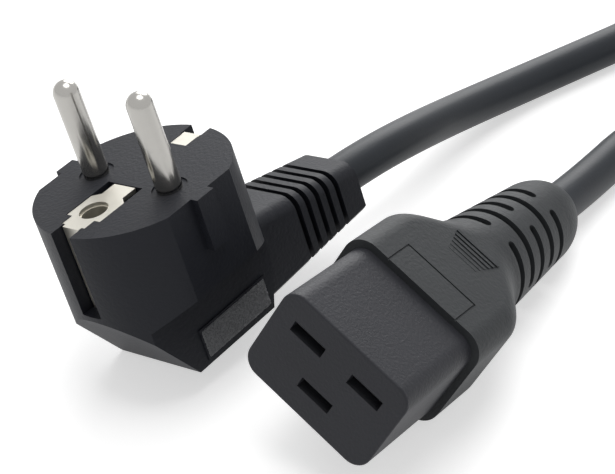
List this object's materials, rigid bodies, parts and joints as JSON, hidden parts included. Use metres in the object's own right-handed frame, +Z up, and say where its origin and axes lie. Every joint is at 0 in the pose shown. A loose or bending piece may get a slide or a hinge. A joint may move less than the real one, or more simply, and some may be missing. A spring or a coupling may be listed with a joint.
{
  "type": "power connector",
  "caption": "Rectangular power cord connector with rounded nose, collared soft moulding and slotted strain relief, on a coiled cord with an angled round-pin plug.",
  "frame": {"origin": "on the surface that the connector lies on, at the middle of the connector's own box, without its cord", "axes": "+Z up; +X along the connector, seen from above, towards its mating face; +Y across it"},
  "size_m": [0.3148, 0.101, 0.0573],
  "materials": {
    "soft_grey": "fine matt grain, moulded flexible PVC",
    "hard_grey": "satin moulded plastic",
    "contact": "tinned copper alloy strip",
    "copper": "bare stranded copper",
    "core_brown": "smooth PVC insulation",
    "core_blue": "smooth PVC insulation",
    "core_green": "smooth PVC insulation",
    "sheath": "matt flexible PVC sheath",
    "plug_black": "matt moulded PVC",
    "nickel": "bright nickel plate",
    "clip": "satin plated strip",
    "tie": "woven strap"
  },
  "bodies": {
    "root": {"connector_overmould": "soft_grey", "connector_insert": "hard_grey", "line_contact": "contact", "neutral_contact": "contact", "earth_contact": "contact", "connector_line_conductor": "copper", "connector_neutral_conductor": "copper", "connector_earth_conductor": "copper", "connector_line_insulation": "core_brown", "connector_neutral_insulation": "core_blue", "connector_earth_insulation": "core_green", "connector_sheath_end": "sheath", "plug_overmould": "plug_black", "plug_bridge": "hard_grey", "line_pin": "nickel", "neutral_pin": "nickel", "earth_strap": "clip", "earth_socket": "clip", "plug_line_conductor": "copper", "plug_neutral_conductor": "copper", "plug_earth_conductor": "copper", "plug_line_insulation": "core_brown", "plug_neutral_insulation": "core_blue", "plug_earth_insulation": "core_green", "plug_sheath_end": "sheath", "cord_connector_end": "sheath", "cord_coil": "sheath", "cord_plug_end": "sheath", "cord_tie": "tie"}
  },
  "joints": []
}
